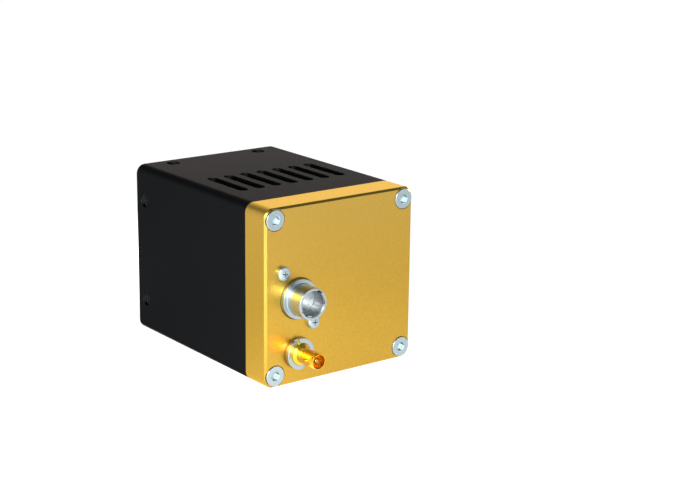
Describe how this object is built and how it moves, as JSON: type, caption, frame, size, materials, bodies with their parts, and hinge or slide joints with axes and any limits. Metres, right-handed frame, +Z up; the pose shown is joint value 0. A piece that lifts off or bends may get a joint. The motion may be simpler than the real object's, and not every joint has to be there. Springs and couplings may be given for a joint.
{
  "type": "machine vision camera",
  "caption": "Cube-shaped industrial camera body with a round threaded lens mount in front and a coaxial jack and round multi-pole receptacle on its gold rear cover.",
  "frame": {"origin": "centre of the lens mount's flange face", "axes": "-Y out of the lens mount along the optical axis, +Y towards the rear cover, +Z up through the slotted top wall"},
  "size_m": [0.054, 0.0942, 0.054],
  "materials": {
    "black_anodised": "satin black anodised",
    "gold_anodised": "fine blasted, gold anodised",
    "zinc_steel": "bright zinc plated",
    "nickel_plate": "nickel plated",
    "grey_insulator": "moulded, pale grey",
    "contact_nickel": "nickel plated",
    "contact_gold": "gold plated",
    "gold_plate": "polished gold plate",
    "ptfe": "moulded",
    "bronze_washer": "bronze",
    "sensor_ceramic": "dark ceramic",
    "silicon": "polished, iridescent",
    "window_glass": "coated glass",
    "black_rubber": "moulded",
    "black_board": "solder mask",
    "standoff_brass": "nickel plated",
    "dark_steel": "blackened",
    "chip_plastic": "moulded",
    "thermal_rubber": "soft pad",
    "connector_plastic": "moulded",
    "ferrite": "ferrite",
    "capacitor_can": "bright can"
  },
  "bodies": {
    "root": {"housing": "black_anodised", "rear_cover": "gold_anodised", "cover_screws": "zinc_steel", "receptacle_shell": "nickel_plate", "receptacle_insulator": "grey_insulator", "receptacle_contacts": "contact_nickel", "receptacle_screws": "zinc_steel", "coax_jack_body": "gold_plate", "coax_dielectric": "ptfe", "coax_contact": "contact_gold", "coax_washer": "bronze_washer", "coax_nut": "nickel_plate", "sensor_package": "sensor_ceramic", "sensor_die": "silicon", "sensor_window": "window_glass", "sensor_gasket": "black_rubber", "sensor_board": "black_board", "processor_board": "black_board", "interface_board": "black_board", "front_standoffs": "standoff_brass", "rear_standoffs": "standoff_brass", "board_screws": "dark_steel", "processor_chip": "chip_plastic", "thermal_pad": "thermal_rubber", "memory_chips": "chip_plastic", "heat_sink": "black_anodised", "heat_sink_screws": "dark_steel", "sensor_socket": "connector_plastic", "sensor_plug": "connector_plastic", "stack_header": "connector_plastic", "stack_pins": "contact_gold", "stack_socket": "connector_plastic", "power_inductors": "ferrite", "filter_capacitors": "capacitor_can"}
  },
  "joints": []
}
